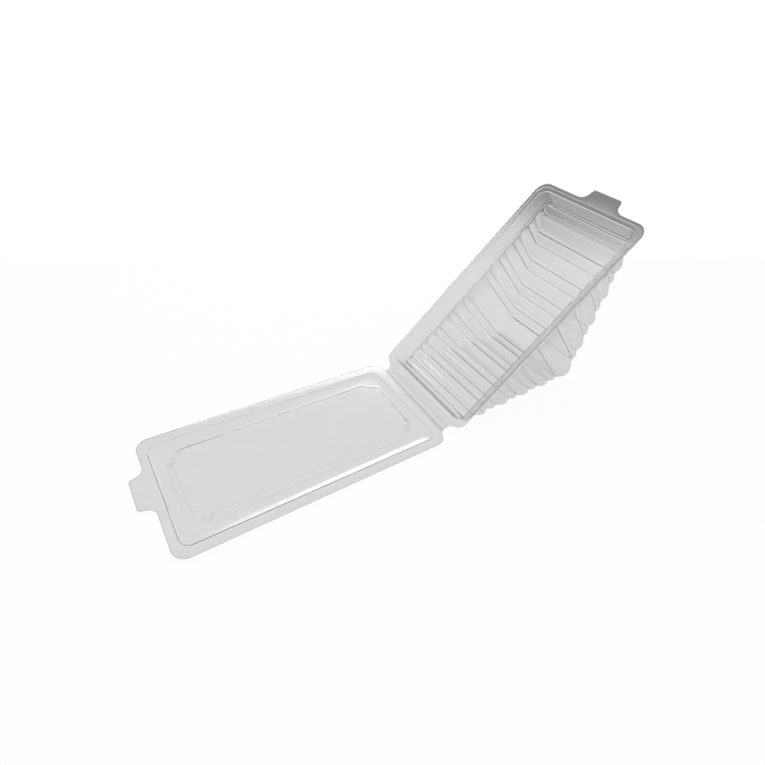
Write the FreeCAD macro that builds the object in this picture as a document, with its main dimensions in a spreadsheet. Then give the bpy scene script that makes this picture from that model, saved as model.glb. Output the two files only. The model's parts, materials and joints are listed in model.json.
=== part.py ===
"""Clear hinged wedge pack for a cut sandwich: a deep fluted tray and its lid, formed from one sheet.

Both halves are drawn in the same rim frame: the crease end at x = 0, the far end at
x = pack_length, y across the pack and the mating face of the rim at z = 0.  The tray opens
upward there and is then leaned over, so that it stands on one of its two sloping walls.  The
lid lies flat with its inner side up.
"""
import FreeCAD, Part
import Sketcher
import math
import os

V = FreeCAD.Vector

SIZES = [
    # the whole pack: rim outline, thickness of the sheet, angle between a sloping wall and the rim
    ("pack_length", 172),
    ("pack_width", 88),
    ("sheet", 0.4),
    ("rim_corner", 8),
    ("lean", 45),
    # the crease strip: its reach beyond each rim, its narrowing, its ridges and its play
    ("hinge_reach", 4.6),
    ("neck_inset", 9.3),
    ("hinge_play", 0.2),
    ("closed_play", 0.3),
    ("ridge_radius", 0.85),
    ("ridge_pitch", 1.9),
    # the two pull tabs, set off to either side of the middle so that both can be gripped
    ("tab_length", 8.5),
    ("tab_width", 23),
    ("tab_flare", 14),
    ("tab_root", 6),
    ("tab_tip", 2),
    ("tab_offset", 5.5),
    # the tray: flat rim, plain collar, shelf, fluted wedge
    ("rim_width", 5.4),
    ("mouth_corner", 6),
    ("shelf_lift", 0.4),
    ("collar_draft", 1),
    ("shelf_width", 1.5),
    ("wall_draft", 2.5),
    ("keel_radius", 6),
    ("narrow_share", 0.68),
    ("flute_bulge", 0.2),
    # the lid: small step down, sloping gutter, ledge, slope up to the raised panel
    ("step_side", 6.5),
    ("step_end", 5.2),
    ("step_drop", 0.4),
    ("step_corner", 6),
    ("gutter_run", 4),
    ("ledge_drop", 1.2),
    ("foot_side", 15.3),
    ("foot_end", 12),
    ("slope_run", 3.2),
    ("panel_rise", 2.2),
    ("panel_notch", 9),
    ("notch_wave", 1.1),
]

DERIVED = [
    ("half_width", "=pack_width / 2"),
    ("neck_radius", "=((rim_corner + hinge_reach)^2 + neck_inset^2 - 2 * rim_corner * neck_inset)"
                    " / (2 * neck_inset)"),
    ("lid_height", "=ledge_drop + sheet"),
    ("pin_rise", "=closed_play / 2"),
    ("pin_height", "=lid_height + pin_rise"),
    ("tray_height", "=pin_height + hinge_reach * sin(lean * 1deg) - pin_rise * cos(lean * 1deg)"),
    ("wall_drop", "=tray_height / cos(lean * 1deg)"),
    ("collar_depth", "=wall_drop + (rim_width + collar_draft - sheet) * tan(lean * 1deg) - shelf_lift"),
    ("lid_span", "=hinge_reach + pack_length + tab_length"),
    ("tray_span", "=lid_span * cos(lean * 1deg) + (pin_rise + sheet) * sin(lean * 1deg)"),
    ("pin_x", "=(lid_span - tray_span) / 2"),
    ("tray_x", "=pin_x + hinge_reach * cos(lean * 1deg) + pin_rise * sin(lean * 1deg)"),
    ("lid_x", "=pin_x - hinge_reach"),
]

PAIRS_PER_WALL = 5
FLUTE_CHORDS = 6
CORNER_CHORDS = 3


def make_sheet(doc):
    """The driving sizes in millimetres and degrees, then the sizes that follow from them."""
    sheet = doc.addObject("Spreadsheet::Sheet", "Sizes")
    for row, (alias, value) in enumerate(SIZES + DERIVED, start=1):
        sheet.set(f"A{row}", alias)
        sheet.set(f"B{row}", str(value))
        sheet.setAlias(f"B{row}", alias)
    doc.recompute()
    return sheet


class Outline:
    """A closed outline drawn edge by edge in a sketch at one height, with bound dimensions."""

    def __init__(self, doc, name, height):
        self.sketch = doc.addObject("Sketcher::SketchObject", name)
        self.sketch.setExpression(".Placement.Base.z", height)

    def line(self, start, end):
        """Draws a straight edge and returns its two ends."""
        index = self.sketch.addGeometry(Part.LineSegment(V(*start, 0), V(*end, 0)))
        return (index, 1), (index, 2)

    def arc(self, centre, radius, first, last):
        """Draws an arc that turns counter-clockwise from first to last degrees."""
        circle = Part.Circle(V(*centre, 0), V(0, 0, 1), radius)
        index = self.sketch.addGeometry(Part.ArcOfCircle(circle, math.radians(first), math.radians(last)))
        return (index, 1), (index, 2)

    def rule(self, kind, *where):
        """Adds a constraint that has no value."""
        self.sketch.addConstraint(Sketcher.Constraint(kind, *where))

    def chain(self, edges, kind):
        """Joins the end of each edge to the start of the next one, and the last to the first."""
        for here, following in zip(edges, edges[1:] + edges[:1]):
            self.rule(kind, *here[1], *following[0])

    def size(self, kind, where, bound, value):
        """Adds a dimension and binds it to the spreadsheet."""
        index = self.sketch.addConstraint(Sketcher.Constraint(kind, *where, value))
        self.sketch.setExpression(f"Constraints[{index}]", bound)

    def place(self, point, bound_x=None, bound_y=None):
        """Fixes the signed position of a point along x, along y or both."""
        read = self.sketch.Document.Sizes.evalExpression
        for kind, bound in (("DistanceX", bound_x), ("DistanceY", bound_y)):
            if bound is None:
                continue
            value = read(bound)
            if value >= 0:
                self.size(kind, (-1, 1, *point), bound, value)
            else:
                self.size(kind, (*point, -1, 1), f"-({bound})", -value)


def frame_edges(draw, low, high, wide, cut):
    """The four straight edges of a frame, each shortened by cut at both of its ends."""
    bottom = draw.line((low + cut, -wide), (high - cut, -wide))
    right = draw.line((high, -wide + cut), (high, wide - cut))
    top = draw.line((high - cut, wide), (low + cut, wide))
    left = draw.line((low, wide - cut), (low, -wide + cut))
    for edge in (bottom, top):
        draw.rule("Horizontal", edge[0][0])
    for edge in (right, left):
        draw.rule("Vertical", edge[0][0])
    return bottom, right, top, left


def place_frame(draw, edges, side, end):
    """Fixes the four sides of a frame that lies inside the rim by the insets side and end."""
    bottom, right, top, left = edges
    draw.place(bottom[0], bound_y=f"({side}) - Sizes.half_width")
    draw.place(top[0], bound_y=f"Sizes.half_width - ({side})")
    draw.place(left[0], bound_x=end)
    draw.place(right[0], bound_x=f"Sizes.pack_length - ({end})")


def round_frame(doc, name, side, end, corner, height):
    """A rectangle with round corners, inside the rim by the insets side and end."""
    read = doc.Sizes.evalExpression
    low = read(end)
    high = doc.Sizes.pack_length - low
    wide = doc.Sizes.half_width - read(side)
    radius = read(corner)
    draw = Outline(doc, name, height)
    bottom, right, top, left = frame_edges(draw, low, high, wide, radius)
    arcs = [draw.arc((high - radius, -wide + radius), radius, 270, 360),
            draw.arc((high - radius, wide - radius), radius, 0, 90),
            draw.arc((low + radius, wide - radius), radius, 90, 180),
            draw.arc((low + radius, -wide + radius), radius, 180, 270)]
    draw.chain([bottom, arcs[0], right, arcs[1], top, arcs[2], left, arcs[3]], "Tangent")
    place_frame(draw, (bottom, right, top, left), side, end)
    for arc in arcs[1:]:
        draw.rule("Equal", arcs[0][0][0], arc[0][0])
    draw.size("Radius", (arcs[0][0][0],), corner, radius)
    return draw.sketch


def notched_frame(doc, name, side, end, height):
    """The lid's panel outline: each corner is cut off by a slanting edge that waves like an S."""
    read = doc.Sizes.evalExpression
    low = read(end)
    high = doc.Sizes.pack_length - low
    wide = doc.Sizes.half_width - read(side)
    cut = doc.Sizes.panel_notch
    wave = doc.Sizes.notch_wave
    chord = cut / math.sqrt(2)
    radius = chord ** 2 / (8 * wave) + wave / 2
    spread = math.degrees(math.asin(chord / 2 / radius))
    draw = Outline(doc, name, height)
    edges = frame_edges(draw, low, high, wide, cut)
    near = f"({side}) - Sizes.half_width"
    far = f"Sizes.half_width - ({side})"
    away = f"Sizes.pack_length - ({end})"
    chain = []
    for index, edge in enumerate(edges):
        bound_x = (away, away, end, end)[index]
        bound_y = (near, far, far, near)[index]
        back = "-+"[index in (2, 3)]
        down = "+-"[index in (1, 2)]
        facing = math.radians(90 * index - 45)
        outward = V(math.cos(facing), math.sin(facing))
        along = V(-math.sin(facing), math.cos(facing))
        middle = V(read(f"{bound_x} {back} Sizes.panel_notch / 2"),
                   read(f"{bound_y} {down} Sizes.panel_notch / 2"))
        full = middle - along * (chord / 2) - outward * (radius - wave)
        hollow = middle + along * (chord / 2) + outward * (radius - wave)
        turn = math.degrees(facing)
        bulge = draw.arc((full.x, full.y), radius, turn - spread, turn + spread)
        last, first = draw.arc((hollow.x, hollow.y), radius, turn + 180 - spread, turn + 180 + spread)
        chain += [edge, bulge, (first, last)]
        draw.place(bulge[1], f"{bound_x} {back} Sizes.panel_notch / 2",
                   f"{bound_y} {down} Sizes.panel_notch / 2")
        for arc in (bulge, (first, last)):
            bound = "Sizes.panel_notch^2 / (16 * Sizes.notch_wave) + Sizes.notch_wave / 2"
            draw.size("Radius", (arc[0][0],), bound, radius)
    draw.chain(chain, "Coincident")
    place_frame(draw, edges, side, end)
    bottom, right, top, left = edges
    for start in (bottom[0], top[1]):
        draw.place(start, bound_x=f"{end} + Sizes.panel_notch")
    for stop in (bottom[1], top[0]):
        draw.place(stop, bound_x=f"{away} - Sizes.panel_notch")
    for lower in (right[0], left[1]):
        draw.place(lower, bound_y=f"{near} + Sizes.panel_notch")
    for upper in (right[1], left[0]):
        draw.place(upper, bound_y=f"{far} - Sizes.panel_notch")
    return draw.sketch


def rim_outline(doc, name, shift):
    """The rim with its tab at the far end and its narrowed crease strip; shift moves the tab in y."""
    size = doc.Sizes
    long, half, corner = size.pack_length, size.half_width, size.rim_corner
    draw = Outline(doc, name, "0")
    edge_x = size.hinge_play / 2 - size.hinge_reach
    neck_y = half - size.neck_inset + size.neck_radius
    meet = math.degrees(math.atan2(neck_y - half + corner, corner + size.hinge_reach))
    open_by = math.degrees(math.asin(size.hinge_play / 2 / size.neck_radius))
    neck_end = neck_y - size.neck_radius * math.cos(math.radians(open_by))
    crease = draw.line((edge_x, neck_end), (edge_x, -neck_end))
    neck_low = draw.arc((-size.hinge_reach, -neck_y), size.neck_radius, meet, 90 - open_by)
    low_left = draw.arc((corner, corner - half), corner, 180 + meet, 270)
    bottom = draw.line((corner, -half), (long - corner, -half))
    low_right = draw.arc((long - corner, corner - half), corner, 270, 360)
    flare = math.radians(size.tab_flare)
    tip, root = size.tab_tip, size.tab_root
    shift_y = size.evalExpression(shift)
    tip_x = long + size.tab_length - tip
    flat = size.tab_width / 2 - tip
    side = V(tip_x + tip * math.sin(flare), flat + tip * math.cos(flare))
    foot_x = long + root - root * math.sin(flare)
    foot_y = side.y + (side.x - foot_x) * math.tan(flare)
    root_y = foot_y + root * math.cos(flare)
    right_low = draw.line((long, corner - half), (long, shift_y - root_y))
    root_low = draw.arc((long + root, shift_y - root_y), root, 90 + size.tab_flare, 180)
    side_low = draw.line((foot_x, shift_y - foot_y), (side.x, shift_y - side.y))
    tip_low = draw.arc((tip_x, shift_y - flat), tip, 270 + size.tab_flare, 360)
    tab_end = draw.line((long + size.tab_length, shift_y - flat), (long + size.tab_length, shift_y + flat))
    tip_high = draw.arc((tip_x, shift_y + flat), tip, 0, 90 - size.tab_flare)
    side_high = draw.line((side.x, shift_y + side.y), (foot_x, shift_y + foot_y))
    root_high = draw.arc((long + root, shift_y + root_y), root, 180, 270 - size.tab_flare)
    right_high = draw.line((long, shift_y + root_y), (long, half - corner))
    high_right = draw.arc((long - corner, half - corner), corner, 0, 90)
    top = draw.line((long - corner, half), (corner, half))
    high_left = draw.arc((corner, half - corner), corner, 90, 180 - meet)
    neck_high = draw.arc((-size.hinge_reach, neck_y), size.neck_radius, 270 + open_by, 360 - meet)
    smooth = [(neck_low[0], low_left[0]), (low_left[1], bottom[0]), (bottom[1], low_right[0]),
              (low_right[1], right_low[0]), (right_low[1], root_low[1]), (root_low[0], side_low[0]),
              (side_low[1], tip_low[0]), (tip_low[1], tab_end[0]), (tab_end[1], tip_high[0]),
              (tip_high[1], side_high[0]), (side_high[1], root_high[1]), (root_high[0], right_high[0]),
              (right_high[1], high_right[0]), (high_right[1], top[0]), (top[1], high_left[0]),
              (high_left[1], neck_high[1])]
    for one, other in smooth:
        draw.rule("Tangent", *one, *other)
    draw.rule("Coincident", *neck_high[0], *crease[0])
    draw.rule("Coincident", *crease[1], *neck_low[1])
    for flat_edge in (bottom, top):
        draw.rule("Horizontal", flat_edge[0][0])
    for upright in (crease, right_low, right_high, tab_end):
        draw.rule("Vertical", upright[0][0])
    draw.place(crease[0], bound_x="Sizes.hinge_play / 2 - Sizes.hinge_reach")
    draw.place(bottom[0], "Sizes.rim_corner", "-Sizes.half_width")
    draw.place(top[1], "Sizes.rim_corner", "Sizes.half_width")
    draw.place(right_low[0], bound_x="Sizes.pack_length")
    draw.place(right_high[1], bound_x="Sizes.pack_length")
    draw.place(tab_end[0], "Sizes.pack_length + Sizes.tab_length",
               f"{shift} + Sizes.tab_tip - Sizes.tab_width / 2")
    draw.place(tab_end[1], bound_y=f"{shift} - Sizes.tab_tip + Sizes.tab_width / 2")
    for arc in (low_left, low_right, high_right, high_left):
        draw.size("Radius", (arc[0][0],), "Sizes.rim_corner", corner)
    for arc in (tip_low, tip_high):
        draw.size("Radius", (arc[0][0],), "Sizes.tab_tip", tip)
    for arc in (root_low, root_high):
        draw.size("Radius", (arc[0][0],), "Sizes.tab_root", root)
    for arc in (neck_low, neck_high):
        draw.size("Radius", (arc[0][0],), "Sizes.neck_radius", size.neck_radius)
        draw.place((arc[0][0], 3), bound_x="-Sizes.hinge_reach")
    draw.size("Angle", (side_low[0][0],), "Sizes.tab_flare * 1deg", flare)
    draw.size("Angle", (side_high[0][0],), "(180 - Sizes.tab_flare) * 1deg", math.pi - flare)
    return draw.sketch


def bind(thing, **bounds):
    """Binds properties to formulas; a double underscore stands for a dot."""
    for name, bound in bounds.items():
        thing.setExpression(name.replace("__", "."), bound)
    return thing


def loft(doc, name, sections):
    """A solid with straight rules between neighbouring sections."""
    solid = doc.addObject("Part::Loft", name)
    solid.Sections = sections
    solid.Solid = True
    solid.Ruled = True
    return solid


def cut(doc, name, base, tool):
    """The base without the tool."""
    result = doc.addObject("Part::Cut", name)
    result.Base = base
    result.Tool = tool
    return result


def fuse(doc, name, pieces):
    """All pieces joined into one solid."""
    result = doc.addObject("Part::MultiFuse", name)
    result.Shapes = pieces
    return result


def rim_block(doc, name, shift, drop):
    """The space below one face of a rim, with the grooves of its crease strip taken out.

    The upper face of the sheet has drop = 0 and its lower face drop = the sheet's thickness.
    """
    outline = rim_outline(doc, f"{name}Outline", shift)
    block = doc.addObject("Part::Extrusion", f"{name}Slab")
    block.Base = outline
    block.DirMode = "Custom"
    block.Dir = V(0, 0, -1)
    block.Solid = True
    bind(block, LengthFwd=f"Sizes.ledge_drop + 3 * Sizes.sheet + {drop}", Placement__Base__z=f"-({drop})")
    ridges = []
    for step in (0.75, 1.75):
        ridge = doc.addObject("Part::Cylinder", f"{name}Ridge")
        ridge.Placement.Rotation = FreeCAD.Rotation(V(1, 0, 0), -90)
        bind(ridge, Radius=f"Sizes.ridge_radius - Sizes.sheet + {drop}", Height="Sizes.pack_width",
             Placement__Base__x=f"-{step} * Sizes.ridge_pitch", Placement__Base__y="-Sizes.half_width")
        ridges.append(ridge)
    return cut(doc, f"{name}Grooved", block, fuse(doc, f"{name}Ridges", ridges))


def flute_stations(size, inset):
    """Points along the flutes from end to end: (x, half width at the shelf, depth).

    Wide and narrow flutes take turns from both ends to the middle, where the last wide ones
    meet in one smooth keel.  All cusps lie on one plane; wide flutes swell to the plane on which
    the tray rests and narrow ones stay a little back.
    """
    tilt = math.tan(math.radians(size.lean))
    middle = size.pack_length / 2
    reach = middle - size.rim_width - size.collar_draft - size.shelf_width
    wide = reach / PAIRS_PER_WALL / (1 + size.narrow_share)
    bulge = size.flute_bulge
    wall_bulge = bulge * (1 + tilt ** 2)
    keel_bulge = (tilt + wall_bulge + math.sqrt(wall_bulge * (wall_bulge + 2 * tilt))) / 2
    least = size.collar_depth + 2 * size.sheet
    stations = []
    x = middle - reach
    for index in range(2 * PAIRS_PER_WALL):
        flute = wide if index % 2 else wide * size.narrow_share
        at_keel = index == 2 * PAIRS_PER_WALL - 1
        for step in range(FLUTE_CHORDS + at_keel):
            share = step / FLUTE_CHORDS
            swell = 4 * share * (1 - share)
            drop = tilt * share + wall_bulge * swell
            if at_keel:
                swell = share * (2 - share)
                drop = keel_bulge * swell
            thin = inset * (1.25 - share * (1 - share))
            half = size.half_width - middle + reach + size.sheet + bulge * (swell * flute - wide) - thin
            depth = size.wall_drop + x * tilt + flute * drop - wall_bulge * wide
            stations.append((x + share * flute, half, max(depth, least) - thin * math.hypot(1, tilt)))
        x += flute
    mirrored = [(size.pack_length - x, half, depth) for x, half, depth in reversed(stations[:-1])]
    return stations + mirrored


def wall_points(size, station, slope, inset):
    """The corners of a U across the tray: drafted sides, chorded lower corners and a flat bottom."""
    x, half, depth = station
    shelf = size.collar_depth - inset
    radius = min(size.keel_radius - inset, 0.8 * (depth - shelf))
    steep = math.degrees(math.atan(slope))
    centre = half - slope * (depth - radius - size.collar_depth) - radius * math.hypot(1, slope)
    right = [V(x, half + slope * inset, -shelf)]
    for step in range(CORNER_CHORDS + 1):
        turn = math.radians(-steep - (90 - steep) * step / CORNER_CHORDS)
        right.append(V(x, centre + radius * math.cos(turn), radius * (1 + math.sin(turn)) - depth))
    left = [V(point.x, -point.y, point.z) for point in reversed(right)]
    return right + left


def fluted_wedge(size, inset):
    """The wedge below the shelf as one solid; inset is 0 outside and the sheet's thickness inside."""
    stations = flute_stations(size, inset)
    keel_depth = max(depth for x, half, depth in stations)
    slope = size.wall_draft / (keel_depth - size.collar_depth)
    sections = [wall_points(size, station, slope, inset) for station in stations]
    faces = [Part.Face(Part.makePolygon(points + points[:1])) for points in (sections[0], sections[-1])]
    for here, following in zip(sections, sections[1:]):
        strip = Part.makeRuledSurface(Part.makePolygon(here), Part.makePolygon(following))
        faces += strip.Faces
    brim = [points[0] for points in sections] + [points[-1] for points in reversed(sections)]
    faces.append(Part.Face(Part.makePolygon(brim + brim[:1])))
    shell = Part.makeShell(faces)
    shell.sewShape()
    wedge = Part.Solid(shell)
    if wedge.Volume < 0:
        wedge.reverse()
    return wedge


def collar(doc, name, inset):
    """The plain drafted wall from the rim down to the shelf, as a solid; inset as for the flutes."""
    mouth = round_frame(doc, f"{name}Mouth", f"Sizes.rim_width - Sizes.sheet + {inset}",
                        f"Sizes.rim_width - Sizes.sheet + {inset}",
                        f"Sizes.mouth_corner + Sizes.sheet - {inset}", "0")
    foot_inset = f"Sizes.rim_width + Sizes.collar_draft - Sizes.sheet + {inset}"
    shelf = round_frame(doc, f"{name}Shelf", foot_inset, foot_inset,
                        f"Sizes.mouth_corner + Sizes.sheet - {inset}", f"-Sizes.collar_depth + {inset}")
    return loft(doc, name, [mouth, shelf])


def solid_feature(doc, name, shape):
    """A solid whose surfaces are computed from the sizes."""
    feature = doc.addObject("Part::Feature", name)
    feature.Shape = shape
    return feature


def make_tray(doc):
    """The fluted tray with its rim, tab and half of the crease strip, leaned onto one wall."""
    size = doc.Sizes
    tab = "-Sizes.tab_offset"
    rim = cut(doc, "TrayRim", rim_block(doc, "TrayTop", tab, "0"),
              rim_block(doc, "TrayUnder", tab, "Sizes.sheet"))
    outside = [rim, collar(doc, "CollarOutside", "0"),
               solid_feature(doc, "FlutesOutside", fluted_wedge(size, 0))]
    inside = [collar(doc, "CollarInside", "Sizes.sheet"),
              solid_feature(doc, "FlutesInside", fluted_wedge(size, size.sheet))]
    tray = cut(doc, "Tray", fuse(doc, "TrayOutside", outside), fuse(doc, "TrayInside", inside))
    tray.Label = "fluted_tray"
    tray.Placement.Rotation = FreeCAD.Rotation(V(0, -1, 0), size.lean)
    bind(tray, Placement__Rotation__Angle="Sizes.lean * 1deg", Placement__Base__x="Sizes.tray_x",
         Placement__Base__z="Sizes.tray_height")
    return tray


def lid_block(doc, name, drop):
    """The space below one face of the lid: rim, step, gutter, ledge and raised panel."""
    block = rim_block(doc, name, "-Sizes.tab_offset", drop)
    step = f"-Sizes.step_drop - {drop}"
    ledge = f"-Sizes.ledge_drop - {drop}"
    edge = round_frame(doc, f"{name}Edge", "Sizes.step_side", "Sizes.step_end",
                       "Sizes.step_corner", f"-({drop})")
    toe = round_frame(doc, f"{name}Toe", "Sizes.step_side + Sizes.step_drop",
                      "Sizes.step_end + Sizes.step_drop", "Sizes.step_corner", step)
    floor = round_frame(doc, f"{name}Floor", "Sizes.step_side + Sizes.gutter_run",
                        "Sizes.step_end + Sizes.gutter_run", "Sizes.step_corner", ledge)
    foot = notched_frame(doc, f"{name}Foot", "Sizes.foot_side", "Sizes.foot_end", ledge)
    brow = notched_frame(doc, f"{name}Brow", "(Sizes.foot_side + Sizes.slope_run)",
                         "(Sizes.foot_end + Sizes.slope_run)", f"{ledge} + Sizes.panel_rise")
    hollow = cut(doc, f"{name}Hollow", block, loft(doc, f"{name}Gutter", [edge, toe, floor]))
    return fuse(doc, f"{name}Form", [hollow, loft(doc, f"{name}Panel", [foot, brow])])


def make_lid(doc):
    """The lid with its rim, tab and half of the crease strip, turned to lie beside the tray."""
    lid = cut(doc, "Lid", lid_block(doc, "LidTop", "0"), lid_block(doc, "LidUnder", "Sizes.sheet"))
    lid.Label = "lid"
    lid.Placement.Rotation = FreeCAD.Rotation(V(0, 0, 1), 180)
    bind(lid, Placement__Base__x="Sizes.lid_x", Placement__Base__z="Sizes.lid_height")
    return lid


def check(doc, pieces):
    """Stops the build if anything failed to compute or a piece isn't one valid solid."""
    for thing in doc.Objects:
        if "Invalid" in thing.State or "Error" in thing.State:
            raise RuntimeError(f"{thing.Name} could not be built")
    for piece in pieces:
        if piece.Shape.isNull() or not piece.Shape.isValid() or len(piece.Shape.Solids) != 1:
            raise RuntimeError(f"{piece.Label} is not one valid solid")


doc = FreeCAD.newDocument("WedgePack")
make_sheet(doc)
pieces = [make_tray(doc), make_lid(doc)]
doc.recompute()
check(doc, pieces)
os.makedirs("parts", exist_ok=True)
for piece in pieces:
    piece.Shape.exportStep(f"parts/{piece.Label}.step")
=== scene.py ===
"""Looks of the clear hinged wedge pack: one continuous formed sheet, its plastic, a table and soft light.

Both halves of the pack are drawn in millimetres in the same rim frame, as in the part's source: the
crease at x = -REACH, the far end of the rim at x = LENGTH, y across and the face of the rim at
z = 0.  The skin drawn here is the sheet's upper face; its thickness is added below it.
"""
import json
import math

import bmesh
import bpy
from mathutils import Euler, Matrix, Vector


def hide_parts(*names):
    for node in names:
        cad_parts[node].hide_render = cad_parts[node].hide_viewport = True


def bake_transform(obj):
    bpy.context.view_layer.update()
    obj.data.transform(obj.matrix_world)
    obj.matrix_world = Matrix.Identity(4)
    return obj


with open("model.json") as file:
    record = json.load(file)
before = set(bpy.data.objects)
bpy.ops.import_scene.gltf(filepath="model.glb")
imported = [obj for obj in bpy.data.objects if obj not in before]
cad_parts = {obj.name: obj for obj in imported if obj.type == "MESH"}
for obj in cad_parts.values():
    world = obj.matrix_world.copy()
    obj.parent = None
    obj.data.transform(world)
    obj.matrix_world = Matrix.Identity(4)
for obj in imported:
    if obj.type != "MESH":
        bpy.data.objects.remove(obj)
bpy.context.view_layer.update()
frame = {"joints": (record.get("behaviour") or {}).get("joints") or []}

MM = 0.001

# The rim, in millimetres and degrees as all sizes below
LENGTH = 172
HALF = 44
SHEET = 0.4
LEAN = 45
RIM_CORNER = 8
# Each point of the turned-down lip: its share of the lip's width and its drop
LIP_CURVE = ((0, 0.25), (0.3, 0.12), (0.6, 0.03), (1, 0))
LIP_WIDTH = 1.0

# The crease strip: from the crease at -REACH to STRIP_END, with grooves a number of pitches before 0
REACH = 4.6
STRIP_END = 0.2
NECK_INSET = 9.3
CREASE_RISE = 0.15
CREASE_RUN = 0.5
GROOVE_PITCH = 1.9
GROOVE_NUMBERS = (0.75, 1.75)
GROOVE_DEPTH = 0.45
GROOVE_HALF_WIDTH = 0.85

# The tab
TAB_LENGTH = 8.44
TAB_HALF = 11.5
TAB_FLARE = 14
TAB_ROOT = 6
TAB_TIP = 2
TAB_SHIFT = -5.5

# The tray: a fine line round its mouth, the collar, the shelf and the fluted wedge
LINE_INSET = 2.1
LINE_HALF_WIDTH = 0.3
LINE_DEPTH = 0.15
LINE_CORNER = 7
MOUTH_INSET = 5.4
MOUTH_CORNER = 6
COLLAR_DEPTH = 12.52
COLLAR_DRAFT = 1
COLLAR_FOOT = 0.7
SHELF_WIDTH = 1.5
TRAY_BEND = 0.9
WALL_DROP = 6.92
WALL_DRAFT = 2.5
KEEL_RADIUS = 2
KEEL_SHARE = 0.8
PAIRS_PER_WALL = 5
NARROW_SHARE = 0.68
BULGE = 0.2
CUSP_ROUNDING = 0.2

# The lid: step, sloping gutter, ledge, slope and raised panel; insets are (from the side, from the end)
LID_HEIGHT = 1.6
LID_BEND = 0.6
STEP = (6.5, 5.2)
STEP_MARGIN = 0.5
STEP_RUN = 0.3
STEP_DROP = 0.5
STEP_CORNER = 6
GUTTER_RUN = 4
LEDGE_DROP = 1.2
LEDGE = (15.3, 12)
SLOPE_RUN = 3.2
PANEL_RUN = 4.3
PANEL_RISE = 1.0
PANEL_CORNER = 9
PANEL_NOTCH = 9
NOTCH_WAVE = 1.1

# How finely curves and long edges are divided
SIDE_STEPS = 40
END_STEPS = 20
CORNER_STEPS = 12
ROOT_STEPS = 10
TIP_STEPS = 6
STRIP_STEPS = 32
CREASE_STEPS = 24
BEND_STEPS = 4
CUSP_STEPS = 5
FLUTE_STEPS = 6
WALL_STEPS = 6
FOLD_STEPS = 9
BOTTOM_STEPS = 8

# The largest share of a straight piece that a rounded bend takes at each of its ends
BEND_LIMIT = 0.45

# Tolerances of the mesh: points that count as one in millimetres and metres, and a hard edge's turn
SAME_POINT = 0.001
WELD_DISTANCE = 0.00002
HARD_TURN = 35

# Painted shade on bends: a flat place's pointiness, how far off it the painted shade starts and is full,
# where along x in metres the lid ends and the tray starts, and how much of the painted shade the tray has
FLAT_POINTINESS = 0.5
BEND_SHADE_START = 0.003
BEND_SHADE_FULL = 0.04
LID_ENDS = 0.024
TRAY_STARTS = 0.034
TRAY_BEND_SHADE = 0.5

# Inputs and outputs by number where a node has several of one name
MIX_COLOR_A = 6
MIX_COLOR_B = 7
MIX_COLOR_OUT = 2

# The view and the table, in metres and degrees
FOCAL_LENGTH = 22.19
SENSOR_WIDTH = 36
CAMERA_PLACE = (-0.148, -0.1823, 0.2257)
CAMERA_TURN = (49.241, -5.982, -33.213)
NEAR_CLIP = 0.01
TABLE_SIZE = 4
TABLE_HEADING = -21.1
TABLE_FAR_EDGE = 0.227

# How much of the table's white is plain, and its strength where it shows through the sheet
WHITE_SHARE = 0.93
WHITE_THROUGH_SHEET = 0.8

# The heights of a direction, from -1 straight down to 1 straight up, between which the room changes
ROOM_LOW = -0.34
ROOM_HIGH = 0.06

pin = Vector(frame["joints"][0]["pos_m"]) / MM
lean = math.radians(LEAN)
neck_radius = ((RIM_CORNER + REACH) ** 2 + NECK_INSET ** 2 - 2 * RIM_CORNER * NECK_INSET) / (2 * NECK_INSET)
neck_y = HALF - NECK_INSET + neck_radius
shelf_depth = COLLAR_DEPTH - SHEET


def in_lid(point):
    """From the rim frame to the lid as it lies, in metres."""
    x, y, z = point
    return Vector((pin.x - REACH - x, -y, LID_HEIGHT + z)) * MM


def in_tray(point):
    """From the rim frame to the leaning tray, in metres."""
    x, y, z = point
    along = x + REACH
    rise = z - CREASE_RISE
    return Vector((pin.x + along * math.cos(lean) - rise * math.sin(lean), y,
                   pin.z + along * math.sin(lean) + rise * math.cos(lean))) * MM


def spread(start, end, steps):
    """Evenly spaced values from start to end."""
    return [start + (end - start) * i / steps for i in range(steps + 1)]


def arc(centre, radius, first, last, steps):
    """Points on an arc from first to last degrees."""
    turns = [math.radians(turn) for turn in spread(first, last, steps)]
    return [(centre[0] + radius * math.cos(turn), centre[1] + radius * math.sin(turn)) for turn in turns]


def neck(x):
    """Half the width of the crease strip at x."""
    return neck_y - math.sqrt(neck_radius ** 2 - (x + REACH) ** 2)


def strip_height(x):
    """The crease strip's cross-section: two round grooves and a small rise to the crease."""
    height = CREASE_RISE * max(0, 1 - (x + REACH) / CREASE_RUN)
    for number in GROOVE_NUMBERS:
        off = abs(x + number * GROOVE_PITCH) / GROOVE_HALF_WIDTH
        if off < 1:
            height -= GROOVE_DEPTH * math.cos(off * math.pi / 2) ** 2
    return height


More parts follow.
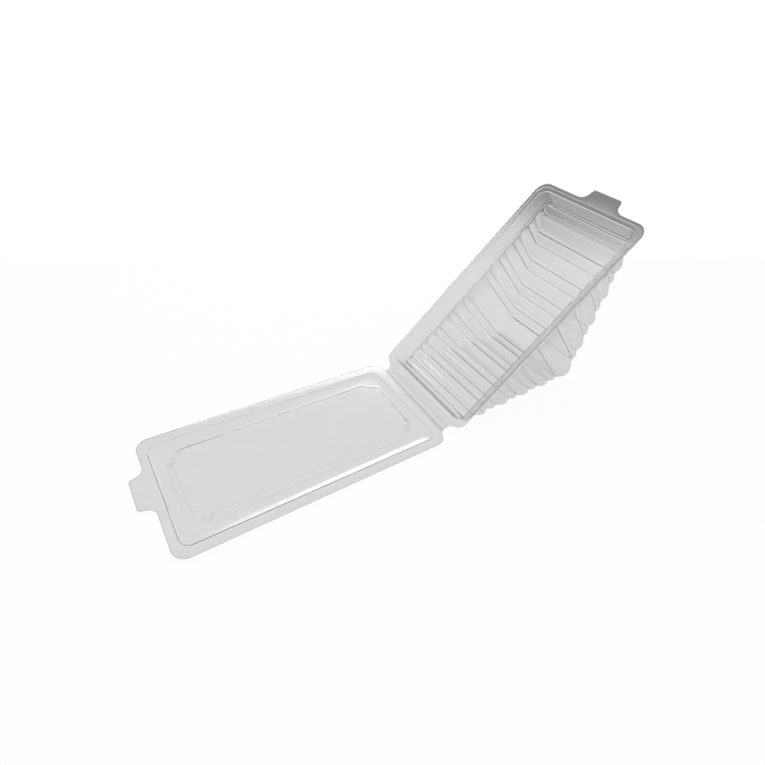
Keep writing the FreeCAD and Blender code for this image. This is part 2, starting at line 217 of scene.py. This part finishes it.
def tab_outline():
    """The tab's edge from its lower to its upper root, at the far end of the rim."""
    flare = math.radians(TAB_FLARE)
    tip_x = LENGTH + TAB_LENGTH - TAB_TIP
    flat = TAB_HALF - TAB_TIP
    side_x = tip_x + TAB_TIP * math.sin(flare)
    side_y = flat + TAB_TIP * math.cos(flare)
    foot_x = LENGTH + TAB_ROOT - TAB_ROOT * math.sin(flare)
    root_x = LENGTH + TAB_ROOT
    root_y = side_y + (side_x - foot_x) * math.tan(flare) + TAB_ROOT * math.cos(flare)
    points = arc((root_x, TAB_SHIFT - root_y), TAB_ROOT, 180, 90 + TAB_FLARE, ROOT_STEPS)
    points += arc((tip_x, TAB_SHIFT - flat), TAB_TIP, 270 + TAB_FLARE, 360, TIP_STEPS)
    points += arc((tip_x, TAB_SHIFT + flat), TAB_TIP, 0, 90 - TAB_FLARE, TIP_STEPS)
    points += arc((root_x, TAB_SHIFT + root_y), TAB_ROOT, 270 - TAB_FLARE, 180, ROOT_STEPS)
    return points


def half_outline():
    """The rim's edge beyond the crease strip, counter-clockwise, from its lower to its upper neck."""
    meet = math.degrees(math.atan2(neck_y - HALF + RIM_CORNER, RIM_CORNER + REACH))
    near, far, side = RIM_CORNER, LENGTH - RIM_CORNER, HALF - RIM_CORNER
    points = arc((near, -side), RIM_CORNER, 180 + meet, 270, CORNER_STEPS)
    points += [(x, -HALF) for x in spread(near, far, SIDE_STEPS)[1:-1]]
    points += arc((far, -side), RIM_CORNER, 270, 360, CORNER_STEPS)
    points += tab_outline()
    points += arc((far, side), RIM_CORNER, 0, 90, CORNER_STEPS)
    points += [(x, HALF) for x in spread(far, near, SIDE_STEPS)[1:-1]]
    points += arc((near, side), RIM_CORNER, 90, 180 - meet, CORNER_STEPS)
    return points


def inward(points, inset):
    """The open outline moved inward, to the left of its direction."""
    moved = []
    for i, (x, y) in enumerate(points):
        ahead = points[min(i + 1, len(points) - 1)]
        behind = points[max(i - 1, 0)]
        dx, dy = ahead[0] - behind[0], ahead[1] - behind[1]
        length = math.hypot(dx, dy)
        moved.append((x - dy / length * inset, y + dx / length * inset))
    return moved


def turned_corner(last, along, corner, notch):
    """A ring's corner after last, from round at notch = 0 to cut off by a waving edge at notch = 1."""
    outward = Vector((along.y, -along.x))
    cut = corner * (1 - notch) + PANEL_NOTCH * notch
    chord = (along - outward) * cut
    points = []
    for share in spread(0, 1, CORNER_STEPS):
        turn = share * math.pi / 2
        rounded = last - outward * corner + (outward * math.cos(turn) + along * math.sin(turn)) * corner
        wave = (along + outward).normalized() * NOTCH_WAVE * math.sin(2 * math.pi * share)
        points.append(tuple(rounded.lerp(last + chord * share + wave, notch)))
    return points


def ring(side, end, corner, notch=0.0):
    """A closed outline inside the rim by the insets side and end, counter-clockwise."""
    low, high, wide = end, LENGTH - end, HALF - side
    cut = corner * (1 - notch) + PANEL_NOTCH * notch
    corners = [(high, -wide), (high, wide), (low, wide), (low, -wide)]
    points = []
    for index, (x, y) in enumerate(corners):
        start = Vector(corners[index - 1])
        stop = Vector((x, y))
        along = (stop - start).normalized()
        first = start + along * cut
        last = stop - along * cut
        steps = SIDE_STEPS if index % 2 == 0 else END_STEPS
        points += [tuple(first.lerp(last, share)) for share in spread(0, 1, steps)[1:-1]]
        points += turned_corner(last, along, corner, notch)
    return points


def eased(corners, radius):
    """A path of vectors whose inner corners are rounded off by quadratic curves."""
    path = [corners[0]]
    for before, here, after in zip(corners, corners[1:], corners[2:]):
        back = before - here
        forth = after - here
        start = here + back * min(radius / back.length, BEND_LIMIT)
        stop = here + forth * min(radius / forth.length, BEND_LIMIT)
        for share in spread(0, 1, BEND_STEPS):
            path.append(start.lerp(here, share).lerp(here.lerp(stop, share), share))
    return path + [corners[-1]]


def ring_path(corners, radius):
    """Rounds a list of (side inset, end inset, height, corner, notch) off at its inner corners."""
    path = []
    for shape in eased([Vector(corner[:3]) for corner in corners], radius):
        nearest = None
        for here, following in zip(corners, corners[1:]):
            start, stop = Vector(here[:3]), Vector(following[:3])
            run = stop - start
            share = min(max((shape - start).dot(run) / run.length_squared, 0), 1)
            away = (start + run * share - shape).length
            if nearest is None or away < nearest[0]:
                nearest = (away, Vector(here[3:]).lerp(Vector(following[3:]), share))
        path.append((*shape, *nearest[1]))
    return path


def further_in(insets, more, height, corner, notch=0):
    """The measures of a ring whose two insets are larger than the given ones by more."""
    side, end = insets
    return side + more, end + more, height, corner, notch


class Skin:
    """A mesh that is added to in rows of points and in flat fills."""

    def __init__(self):
        self.mesh = bmesh.new()

    def rows(self, rows, place, closed=False):
        """Faces between neighbouring rows of points."""
        made = [[self.mesh.verts.new(place(point)) for point in row] for row in rows]
        for here, following in zip(made, made[1:]):
            pairs = list(zip(here, following))
            if closed:
                pairs.append(pairs[0])
            for (a, b), (c, d) in zip(pairs, pairs[1:]):
                self.mesh.faces.new((a, b, d, c))

    def fill(self, loops, height, place):
        """A flat area between closed loops of points at one height."""
        edges = []
        for loop in loops:
            kept = [p for i, p in enumerate(loop) if (Vector(p) - Vector(loop[i - 1])).length > SAME_POINT]
            made = [self.mesh.verts.new(place((x, y, height))) for x, y in kept]
            edges += [self.mesh.edges.new((made[i - 1], made[i])) for i in range(len(made))]
        bmesh.ops.triangle_fill(self.mesh, use_beauty=True, use_dissolve=False, edges=edges)

    def rings(self, corners, radius, place):
        """Walls through rings whose measures change along an eased path."""
        rows = []
        for side, end, height, corner, notch in ring_path(corners, radius):
            rows.append([(x, y, height) for x, y in ring(side, end, corner, notch)])
        self.rows(rows, place, closed=True)


def draw_rim(skin, place, first_ring):
    """The crease strip, the turned-down lip and the flat rim with its tab, out to the first ring."""
    strip_x = spread(-REACH, STRIP_END, STRIP_STEPS)
    shares = spread(-1, 1, CREASE_STEPS)
    strip = [[(x, share * (neck(x) - LIP_WIDTH), strip_height(x)) for share in shares] for x in strip_x]
    skin.rows(strip, place)
    lower_neck = [(x, -neck(x)) for x in strip_x]
    upper_neck = [(x, neck(x)) for x in reversed(strip_x)]
    edge = lower_neck + half_outline() + upper_neck
    lip = []
    for share, drop in LIP_CURVE:
        offset = LIP_WIDTH * share
        inner = [(x, -neck(x) + offset) for x in strip_x]
        inner += inward(edge, offset)[len(strip_x):-len(strip_x)]
        inner += [(x, neck(x) - offset) for x in reversed(strip_x)]
        lip.append([(x, y, (strip_height(x) if x <= STRIP_END else 0) - drop) for x, y in inner])
    skin.rows(lip, place)
    flat = [(x, y) for x, y, z in lip[-1][len(strip_x) - 1:-len(strip_x) + 1]]
    across = [(STRIP_END, share * (neck(STRIP_END) - LIP_WIDTH)) for share in reversed(shares)][1:-1]
    skin.fill([flat + across, first_ring], 0, place)


def flute_swell(share):
    """How far a flute stands out from 0 at its cusps to 1 at its crest, with rounded cusps."""
    share = min(share, 1 - share)
    if share < CUSP_ROUNDING:
        bend = (1 - 2 * CUSP_ROUNDING) / CUSP_ROUNDING
        at_arc = 4 * CUSP_ROUNDING * (1 - CUSP_ROUNDING)
        return at_arc - 2 * bend * (CUSP_ROUNDING ** 2 - share ** 2)
    return 4 * share * (1 - share)


def flute_stations():
    """Points along the flutes from end to end: (x, half width at the shelf, depth)."""
    tilt = math.tan(lean)
    brim = MOUTH_INSET + COLLAR_DRAFT + SHELF_WIDTH
    wide = (LENGTH / 2 - brim) / PAIRS_PER_WALL / (1 + NARROW_SHARE)
    wall_bulge = BULGE * (1 + tilt ** 2)
    keel_bulge = (tilt + wall_bulge + math.sqrt(wall_bulge * (wall_bulge + 2 * tilt))) / 2
    shares = spread(0, CUSP_ROUNDING, CUSP_STEPS)[:-1]
    shares += spread(CUSP_ROUNDING, 1 - CUSP_ROUNDING, FLUTE_STEPS)
    shares += spread(1 - CUSP_ROUNDING, 1, CUSP_STEPS)[1:-1]
    stations = []
    x = brim
    for index in range(2 * PAIRS_PER_WALL):
        flute = wide if index % 2 else wide * NARROW_SHARE
        at_keel = index == 2 * PAIRS_PER_WALL - 1
        for share in shares + ([1] if at_keel else []):
            swell = flute_swell(share)
            drop = tilt * share + wall_bulge * swell
            if at_keel:
                swell = max(share * (2 - share), 2 * (CUSP_ROUNDING - share))
                drop = keel_bulge * share * (2 - share)
            half = HALF - brim + BULGE * (swell * flute - wide)
            depth = WALL_DROP + x * tilt + flute * drop - wall_bulge * wide - SHEET * math.hypot(1, tilt)
            stations.append((x + share * flute, half, max(depth, shelf_depth)))
        x += flute
    return stations + [(LENGTH - x, half, depth) for x, half, depth in reversed(stations[:-1])]


def wall_section(station, slope):
    """Points of a U across the tray: a drafted side, a round lower corner, the bottom, and back up."""
    x, half, depth = station
    radius = min(KEEL_RADIUS - SHEET, KEEL_SHARE * (depth - shelf_depth))
    steep = math.degrees(math.atan(slope))
    centre = half - slope * (depth - radius - shelf_depth) - radius * math.hypot(1, slope)
    fold = arc((centre, radius - depth), radius, -steep, -90, FOLD_STEPS)
    top, foot = Vector((half, -shelf_depth)), Vector(fold[0])
    side = [tuple(top.lerp(foot, share)) for share in spread(0, 1, WALL_STEPS)[:-1]]
    right = side + fold
    bottom = [(centre * share, -depth) for share in spread(1, -1, BOTTOM_STEPS)[1:-1]]
    left = [(-y, z) for y, z in reversed(right)]
    return [(x, y, z) for y, z in right + bottom + left]


def brim_loop(sections):
    """The wavy upper edge of the wedge, as a closed loop of points on the shelf."""
    brim = [points[0] for points in sections] + sections[-1]
    brim += [points[-1] for points in reversed(sections)] + list(reversed(sections[0]))
    loop = []
    for x, y, z in brim:
        if not loop or (Vector((x, y)) - Vector(loop[-1])).length > SAME_POINT:
            loop.append((x, y))
    return loop


def draw_tray(skin):
    """The tray: rim, collar, shelf and fluted wedge."""
    line = (LINE_INSET, LINE_INSET)
    mouth = (MOUTH_INSET, MOUTH_INSET)
    shelf_inset = MOUTH_INSET + COLLAR_DRAFT + COLLAR_FOOT
    corners = [further_in(line, 0, 0, LINE_CORNER),
               further_in(line, LINE_HALF_WIDTH, -LINE_DEPTH, LINE_CORNER),
               further_in(line, 2 * LINE_HALF_WIDTH, 0, LINE_CORNER),
               further_in(mouth, 0, 0, MOUTH_CORNER),
               further_in(mouth, COLLAR_DRAFT, -shelf_depth, MOUTH_CORNER),
               further_in(mouth, COLLAR_DRAFT + COLLAR_FOOT, -shelf_depth, MOUTH_CORNER)]
    draw_rim(skin, in_tray, ring(LINE_INSET, LINE_INSET, LINE_CORNER))
    skin.rings(corners, TRAY_BEND, in_tray)
    stations = flute_stations()
    slope = WALL_DRAFT / (max(depth for x, half, depth in stations) - shelf_depth)
    sections = [wall_section(station, slope) for station in stations]
    skin.rows(sections, in_tray)
    shelf_ring = ring(shelf_inset, shelf_inset, MOUTH_CORNER)
    skin.fill([shelf_ring, brim_loop(sections)], -shelf_depth, in_tray)


def draw_lid(skin):
    """The lid: rim, small step, sloping gutter, ledge and raised panel."""
    corners = [further_in(STEP, -STEP_MARGIN, 0, STEP_CORNER),
               further_in(STEP, 0, 0, STEP_CORNER),
               further_in(STEP, STEP_RUN, -STEP_DROP, STEP_CORNER),
               further_in(STEP, GUTTER_RUN, -LEDGE_DROP, STEP_CORNER),
               further_in(LEDGE, 0, -LEDGE_DROP, PANEL_CORNER, 1),
               further_in(LEDGE, SLOPE_RUN, PANEL_RISE, PANEL_CORNER, 1),
               further_in(LEDGE, PANEL_RUN, PANEL_RISE, PANEL_CORNER, 1)]
    outer_side, outer_end = corners[0][:2]
    draw_rim(skin, in_lid, ring(outer_side, outer_end, STEP_CORNER))
    skin.rings(corners, LID_BEND, in_lid)
    panel_side, panel_end = corners[-1][:2]
    skin.fill([ring(panel_side, panel_end, PANEL_CORNER, 1)], PANEL_RISE, in_lid)


def thicken(mesh, depth):
    """Gives the skin its thickness, on the side away from its face normals."""
    mesh.normal_update()
    upper = list(mesh.verts)
    faces = list(mesh.faces)
    edges = [edge for edge in mesh.edges if len(edge.link_faces) == 1]
    lower = {vertex: mesh.verts.new(vertex.co - vertex.normal * depth) for vertex in upper}
    for edge in edges:
        loop = edge.link_loops[0]
        a, b = loop.vert, loop.link_loop_next.vert
        mesh.faces.new((b, a, lower[a], lower[b]))
    for face in faces:
        mesh.faces.new([lower[vertex] for vertex in reversed(face.verts)])


def make_sheet():
    """The whole pack as one closed, smooth mesh."""
    skin = Skin()
    draw_tray(skin)
    draw_lid(skin)
    mesh = skin.mesh
    bmesh.ops.remove_doubles(mesh, verts=mesh.verts, dist=WELD_DISTANCE)
    bmesh.ops.recalc_face_normals(mesh, faces=mesh.faces)
    middle = in_lid((LENGTH / 2, 0, PANEL_RISE))
    panel = min(mesh.faces, key=lambda face: (face.calc_center_median() - middle).length)
    if panel.normal.z < 0:
        bmesh.ops.reverse_faces(mesh, faces=mesh.faces)
    thicken(mesh, SHEET * MM)
    data = bpy.data.meshes.new("formed_sheet")
    mesh.to_mesh(data)
    mesh.free()
    for polygon in data.polygons:
        polygon.use_smooth = True
    data.set_sharp_from_angle(angle=math.radians(HARD_TURN))
    piece = bpy.data.objects.new("formed_sheet", data)
    bpy.context.collection.objects.link(piece)
    return piece


def painted_bend_shade(nodes, links, place):
    """How much painted shade the sheet's sharp bends get: fully on the lid and half as much on the tray."""
    shape = nodes.new("ShaderNodeNewGeometry")
    curve = nodes.new("ShaderNodeMath")
    curve.operation = "SUBTRACT"
    curve.inputs[1].default_value = FLAT_POINTINESS
    either_way = nodes.new("ShaderNodeMath")
    either_way.operation = "ABSOLUTE"
    sharpness = nodes.new("ShaderNodeMapRange")
    sharpness.inputs["From Min"].default_value = BEND_SHADE_START
    sharpness.inputs["From Max"].default_value = BEND_SHADE_FULL
    axes = nodes.new("ShaderNodeSeparateXYZ")
    by_half = nodes.new("ShaderNodeMapRange")
    by_half.inputs["From Min"].default_value = LID_ENDS
    by_half.inputs["From Max"].default_value = TRAY_STARTS
    by_half.inputs["To Min"].default_value = 1
    by_half.inputs["To Max"].default_value = TRAY_BEND_SHADE
    bend_shade = nodes.new("ShaderNodeMath")
    bend_shade.operation = "MULTIPLY"
    links.new(shape.outputs["Pointiness"], curve.inputs[0])
    links.new(curve.outputs[0], either_way.inputs[0])
    links.new(either_way.outputs[0], sharpness.inputs["Value"])
    links.new(place, axes.inputs[0])
    links.new(axes.outputs["X"], by_half.inputs["Value"])
    links.new(sharpness.outputs["Result"], bend_shade.inputs[0])
    links.new(by_half.outputs["Result"], bend_shade.inputs[1])
    return bend_shade.outputs[0]


def clear_plastic():
    """Clear formed plastic, faintly grey-green and uneven, with slight ripples and painted shade darkening
    its bends.
    """
    material = bpy.data.materials.new("clear_sheet")
    material.use_nodes = True
    nodes, links = material.node_tree.nodes, material.node_tree.links
    shader = nodes["Principled BSDF"]
    shader.inputs["Transmission Weight"].default_value = 1
    shader.inputs["IOR"].default_value = 1.5
    where = nodes.new("ShaderNodeTexCoord")
    place = where.outputs["Object"]
    haze = nodes.new("ShaderNodeTexNoise")
    haze.inputs["Scale"].default_value = 60
    tint = nodes.new("ShaderNodeValToRGB")
    tint.color_ramp.elements[0].color = (0.9, 0.905, 0.895, 1)
    tint.color_ramp.elements[1].color = (0.94, 0.945, 0.935, 1)
    tint_with_bend_shade = nodes.new("ShaderNodeMix")
    tint_with_bend_shade.data_type = "RGBA"
    # Painted shade: the darker grey laid on the sheet's bends, in place of the dark lines that refraction
    # draws there
    tint_with_bend_shade.inputs[MIX_COLOR_B].default_value = (0.7, 0.705, 0.695, 1)
    rough = nodes.new("ShaderNodeMapRange")
    rough.inputs["To Min"].default_value = 0.1
    rough.inputs["To Max"].default_value = 0.18
    ripple = nodes.new("ShaderNodeTexNoise")
    ripple.inputs["Scale"].default_value = 45
    bump = nodes.new("ShaderNodeBump")
    bump.inputs["Strength"].default_value = 0.05
    bump.inputs["Distance"].default_value = 0.0005
    links.new(place, haze.inputs["Vector"])
    links.new(place, ripple.inputs["Vector"])
    links.new(haze.outputs["Fac"], tint.inputs["Fac"])
    links.new(haze.outputs["Fac"], rough.inputs["Value"])
    links.new(ripple.outputs["Fac"], bump.inputs["Height"])
    # The painted shade on the bends sets how far the tint turns to the darker grey
    links.new(painted_bend_shade(nodes, links, place), tint_with_bend_shade.inputs["Factor"])
    links.new(tint.outputs["Color"], tint_with_bend_shade.inputs[MIX_COLOR_A])
    links.new(tint_with_bend_shade.outputs[MIX_COLOR_OUT], shader.inputs["Base Color"])
    links.new(rough.outputs["Result"], shader.inputs["Roughness"])
    links.new(bump.outputs["Normal"], shader.inputs["Normal"])
    return material


def white_for_view(tree, rays, shaded, white):
    """Mixes in plain white where a camera, glossy or transmitted ray looks, and leaves some shadow."""
    nodes, links = tree.nodes, tree.links
    direct = nodes.new("ShaderNodeMath")
    direct.operation = "MAXIMUM"
    seen = nodes.new("ShaderNodeMath")
    seen.operation = "MAXIMUM"
    share = nodes.new("ShaderNodeMath")
    share.operation = "MULTIPLY"
    share.inputs[1].default_value = WHITE_SHARE
    mix = nodes.new("ShaderNodeMixShader")
    links.new(rays.outputs["Is Camera Ray"], direct.inputs[0])
    links.new(rays.outputs["Is Glossy Ray"], direct.inputs[1])
    links.new(direct.outputs[0], seen.inputs[0])
    links.new(rays.outputs["Is Transmission Ray"], seen.inputs[1])
    links.new(seen.outputs[0], share.inputs[0])
    links.new(share.outputs[0], mix.inputs["Fac"])
    links.new(shaded, mix.inputs[1])
    links.new(white, mix.inputs[2])
    return mix.outputs[0]


def table_white():
    """White that turns a light grey where it is seen through the sheet."""
    material = bpy.data.materials.new("table_white")
    material.use_nodes = True
    tree = material.node_tree
    shader = tree.nodes["Principled BSDF"]
    shader.inputs["Base Color"].default_value = (0.9, 0.9, 0.9, 1)
    shader.inputs["Roughness"].default_value = 0.6
    rays = tree.nodes.new("ShaderNodeLightPath")
    glow = tree.nodes.new("ShaderNodeEmission")
    strength = tree.nodes.new("ShaderNodeMapRange")
    strength.inputs["To Min"].default_value = 1
    strength.inputs["To Max"].default_value = WHITE_THROUGH_SHEET
    tree.links.new(rays.outputs["Is Transmission Ray"], strength.inputs["Value"])
    tree.links.new(strength.outputs["Result"], glow.inputs["Strength"])
    out = white_for_view(tree, rays, shader.outputs[0], glow.outputs[0])
    tree.links.new(out, tree.nodes["Material Output"].inputs["Surface"])
    return material


def make_table():
    """A plain white table top under the pack, turned so that its far edge crosses the view."""
    bpy.ops.mesh.primitive_plane_add(size=1)
    table = bpy.context.object
    table.name = "table"
    table.data.materials.append(table_white())
    heading = math.radians(TABLE_HEADING)
    away = Vector((-math.sin(heading), math.cos(heading), 0))
    table.rotation_euler.z = heading
    table.scale = (TABLE_SIZE, TABLE_SIZE, 1)
    table.location = away * (TABLE_FAR_EDGE - TABLE_SIZE / 2)


def make_world():
    """White where the camera looks; for all else a room that is dark round the horizon."""
    world = bpy.data.worlds.new("studio")
    bpy.context.scene.world = world
    world.use_nodes = True
    tree = world.node_tree
    room = tree.nodes["Background"]
    facing = tree.nodes.new("ShaderNodeTexCoord")
    axes = tree.nodes.new("ShaderNodeSeparateXYZ")
    height = tree.nodes.new("ShaderNodeMapRange")
    height.inputs["From Min"].default_value = ROOM_LOW
    height.inputs["From Max"].default_value = ROOM_HIGH
    shade = tree.nodes.new("ShaderNodeValToRGB")
    ramp = shade.color_ramp
    ramp.elements[0].color = (0.75, 0.75, 0.74, 1)
    ramp.elements[1].color = (0.2, 0.2, 0.2, 1)
    ramp.elements[1].position = 0.15
    ramp.elements.new(0.4).color = (0.25, 0.25, 0.25, 1)
    ramp.elements.new(0.7).color = (0.55, 0.55, 0.55, 1)
    white = tree.nodes.new("ShaderNodeBackground")
    white.inputs["Color"].default_value = (1, 1, 1, 1)
    rays = tree.nodes.new("ShaderNodeLightPath")
    mix = tree.nodes.new("ShaderNodeMixShader")
    tree.links.new(facing.outputs["Generated"], axes.inputs[0])
    tree.links.new(axes.outputs["Z"], height.inputs["Value"])
    tree.links.new(height.outputs["Result"], shade.inputs["Fac"])
    tree.links.new(shade.outputs["Color"], room.inputs["Color"])
    tree.links.new(rays.outputs["Is Camera Ray"], mix.inputs["Fac"])
    tree.links.new(room.outputs[0], mix.inputs[1])
    tree.links.new(white.outputs[0], mix.inputs[2])
    tree.links.new(mix.outputs[0], tree.nodes["World Output"].inputs["Surface"])


def softbox(name, place, target, size, power):
    """A rectangular soft light."""
    light = bpy.data.lights.new(name, "AREA")
    light.shape = "RECTANGLE"
    light.size, light.size_y = size
    light.energy = power
    lamp = bpy.data.objects.new(name, light)
    lamp.location = place
    lamp.rotation_euler = (Vector(target) - Vector(place)).to_track_quat("-Z", "Y").to_euler()
    bpy.context.collection.objects.link(lamp)


def make_camera():
    """The camera of the photograph."""
    camera = bpy.data.cameras.new("camera")
    camera.sensor_width = SENSOR_WIDTH
    camera.lens = FOCAL_LENGTH
    camera.clip_start = NEAR_CLIP
    stand = bpy.data.objects.new("camera", camera)
    stand.location = CAMERA_PLACE
    stand.rotation_euler = Euler([math.radians(turn) for turn in CAMERA_TURN])
    bpy.context.collection.objects.link(stand)
    bpy.context.scene.camera = stand


piece = make_sheet()
piece.data.materials.append(clear_plastic())
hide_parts("fluted_tray", "lid")
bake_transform(piece)
make_table()
make_world()
softbox("window", place=(0.4, 0.82, 0.5), target=(0, 0, 0.02), size=(0.9, 0.34), power=3.8)
softbox("overhead", place=(-1.0, -0.9, 1.3), target=(0, 0, 0), size=(0.9, 0.9), power=14)
make_camera()
bpy.context.scene.view_settings.view_transform = "Standard"
